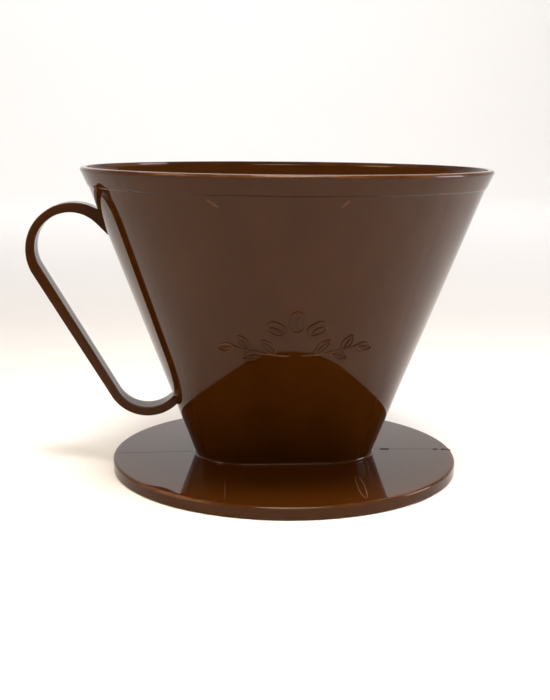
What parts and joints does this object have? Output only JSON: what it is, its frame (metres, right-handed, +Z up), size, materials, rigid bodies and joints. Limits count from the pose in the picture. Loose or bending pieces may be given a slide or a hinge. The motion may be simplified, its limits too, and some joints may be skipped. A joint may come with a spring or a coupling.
{
  "type": "pour over dripper",
  "caption": "Glossy brown plastic pour over coffee dripper: wedge filter cone with a round flared rim, a saucer-shaped mug base and a ribbon loop handle.",
  "frame": {"origin": "centre of the base, on the plane it rests on", "axes": "+Z up through the mouth, +X away from the handle, -Y towards the raised motif"},
  "size_m": [0.1509, 0.133, 0.1],
  "materials": {
    "brown_plastic": "glossy moulded dark brown plastic"
  },
  "bodies": {
    "root": {"cone_wall": "brown_plastic", "rim_band": "brown_plastic", "flow_ribs": "brown_plastic", "outlet_floor": "brown_plastic", "foot_plate": "brown_plastic", "base_plate": "brown_plastic", "base_skirt": "brown_plastic", "locating_ring": "brown_plastic", "handle_strap": "brown_plastic", "motif_sprig": "brown_plastic", "motif_beans": "brown_plastic"}
  },
  "joints": []
}
